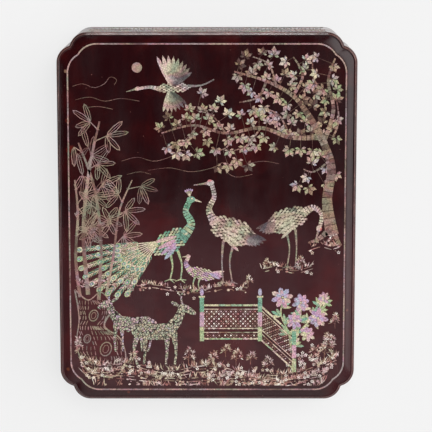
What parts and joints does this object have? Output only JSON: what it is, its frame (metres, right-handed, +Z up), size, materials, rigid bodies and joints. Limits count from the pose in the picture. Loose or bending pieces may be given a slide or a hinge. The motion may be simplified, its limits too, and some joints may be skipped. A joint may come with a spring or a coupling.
{
  "type": "ink box",
  "caption": "Flat lacquered box with double-lobed corners and pearl inlay, holding an ink stone in a well and an ink stick in a lift-out tray.",
  "frame": {"origin": "middle of the plane that the foot rim stands on", "axes": "+Z up through the lid, +Y along the box's longer side towards the end with the ink pool, +X across it"},
  "size_m": [0.2246, 0.2806, 0.0663],
  "materials": {
    "lacquer": "dark reddish-brown lacquer, hand-polished, semi-gloss, worn redder on the edges",
    "pearl": "thin mother-of-pearl plates, iridescent, polished",
    "lining_wood": "dark lacquered wood, satin",
    "tray_wood": "reddish-brown lacquered wood, satin",
    "ink_stone": "fine-grained dark slate, honed",
    "ink_cake": "moulded ink cake, matt to satin black",
    "bamboo": "bamboo, cut flush"
  },
  "bodies": {
    "base": {"base_bottom_panel": "lacquer", "base_corner_back_left": "lacquer", "base_corner_back_right": "lacquer", "base_corner_front_left": "lacquer", "base_corner_front_right": "lacquer", "base_lining_back": "lining_wood", "base_lining_front": "lining_wood", "base_lining_left": "lining_wood", "base_lining_right": "lining_wood", "base_side_inlay": "pearl", "base_wall_back": "lacquer", "base_wall_front": "lacquer", "base_wall_left": "lacquer", "base_wall_right": "lacquer", "bottom_pins": "bamboo", "foot_rim": "lacquer", "stone_board": "lining_wood", "tray_bearer_left": "lining_wood", "tray_bearer_right": "lining_wood"},
    "stone": {"ink_stone": "ink_stone"},
    "tray": {"stick_rests": "tray_wood", "tray_cross_divider": "tray_wood", "tray_floor": "tray_wood", "tray_long_divider": "tray_wood", "tray_wall_back": "tray_wood", "tray_wall_front": "tray_wood", "tray_wall_left": "tray_wood", "tray_wall_right": "tray_wood"},
    "stick": {"ink_stick": "ink_cake"},
    "lid": {"inlay_bamboo": "pearl", "inlay_border_string": "pearl", "inlay_crane_bending": "pearl", "inlay_crane_flying": "pearl", "inlay_crane_upright": "pearl", "inlay_deer": "pearl", "inlay_fence": "pearl", "inlay_ground": "pearl", "inlay_moon_and_clouds": "pearl", "inlay_peafowl": "pearl", "inlay_peony": "pearl", "inlay_rock": "pearl", "inlay_tree": "pearl", "inlay_tree_leaves": "pearl", "lid_corner_back_left": "lacquer", "lid_corner_back_right": "lacquer", "lid_corner_front_left": "lacquer", "lid_corner_front_right": "lacquer", "lid_side_inlay": "pearl", "lid_top_panel": "lacquer", "lid_wall_back": "lacquer", "lid_wall_front": "lacquer", "lid_wall_left": "lacquer", "lid_wall_right": "lacquer"}
  },
  "joints": [
    {"name": "stone_lift", "type": "slide", "parent": "base", "child": "stone", "axis": [0, 0, 1], "range_m": [0, 0.05]},
    {"name": "tray_lift", "type": "slide", "parent": "stone", "child": "tray", "axis": [0, 0, 1], "range_m": [0, 0.05]},
    {"name": "stick_lift", "type": "slide", "parent": "tray", "child": "stick", "axis": [0, 0, 1], "range_m": [0, 0.05]},
    {"name": "lid_lift", "type": "slide", "parent": "stick", "child": "lid", "axis": [0, 0, 1], "range_m": [0, 0.12]}
  ]
}
